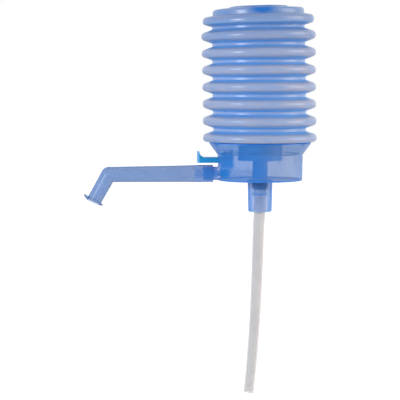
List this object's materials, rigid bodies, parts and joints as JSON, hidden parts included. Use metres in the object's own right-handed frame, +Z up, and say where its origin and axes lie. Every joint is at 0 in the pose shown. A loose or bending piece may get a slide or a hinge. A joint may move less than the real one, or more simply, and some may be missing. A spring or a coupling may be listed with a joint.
{
  "type": "water jug hand pump",
  "caption": "Bellows hand pump that plugs into a water jug's cap, with a swivelling spout, a release lever and a hanging dip tube.",
  "frame": {"origin": "centre of the base's flat underside, on the stem's axis", "axes": "+Z up along the bellows, the spout points to -X"},
  "size_m": [0.1845, 0.09, 0.3088],
  "materials": {
    "base_plastic": "glossy translucent blue",
    "bellows_plastic": "glossy milky translucent lavender blue",
    "spout_plastic": "glossy translucent grey blue",
    "stem_plastic": "satin soft translucent blue",
    "inner_plastic": "satin translucent blue",
    "lever_plastic": "satin teal blue",
    "tube_plastic": "clear soft tubing",
    "seal_rubber": "black rubber",
    "valve_rubber": "milky silicone",
    "steel": "bright drawn steel"
  },
  "bodies": {
    "root": {"base_cup": "base_plastic", "bellows": "bellows_plastic", "bellows_ring": "inner_plastic", "stem": "stem_plastic", "valve_plate": "inner_plastic", "valve_plate_gasket": "seal_rubber", "valve_cage": "inner_plastic", "delivery_stud": "inner_plastic", "intake_stud": "inner_plastic", "lever_pin": "steel", "lever_spring": "steel", "spout_seal": "seal_rubber", "dip_tube": "tube_plastic", "tube_seal": "seal_rubber"},
    "crown": {"bellows_crown": "bellows_plastic"},
    "lever": {"release_lever": "lever_plastic", "vent_pad": "seal_rubber"},
    "spout": {"spout": "spout_plastic"},
    "delivery_flap": {"delivery_valve": "valve_rubber"},
    "intake_flap": {"intake_valve": "valve_rubber"}
  },
  "joints": [
    {"name": "crown_press", "type": "slide", "parent": "root", "child": "crown", "axis": [0, 0, -1], "range_m": [0, 0.06], "stiffness_N_per_m": 350, "springref_m": -0.002, "deforming": ["bellows"]},
    {"name": "lever_press", "type": "hinge", "parent": "root", "child": "lever", "pos_m": [-0.0299, 0, 0.0162], "axis": [0, -1, 0], "range_deg": [0, 5], "stiffness_Nm_per_rad": 0.5, "springref_deg": -2.86, "deforming": ["lever_spring"]},
    {"name": "spout_swivel", "type": "hinge", "parent": "root", "child": "spout", "pos_m": [-0.0372, 0, 0.0055], "axis": [1, 0, 0], "continuous": true},
    {"name": "delivery_lift", "type": "slide", "parent": "root", "child": "delivery_flap", "axis": [0, 0, -1], "range_m": [0, 0.0008], "stiffness_N_per_m": 60, "springref_m": -0.0005},
    {"name": "intake_lift", "type": "slide", "parent": "root", "child": "intake_flap", "axis": [0, 0, 1], "range_m": [0, 0.0008], "stiffness_N_per_m": 60, "springref_m": -0.0005}
  ]
}
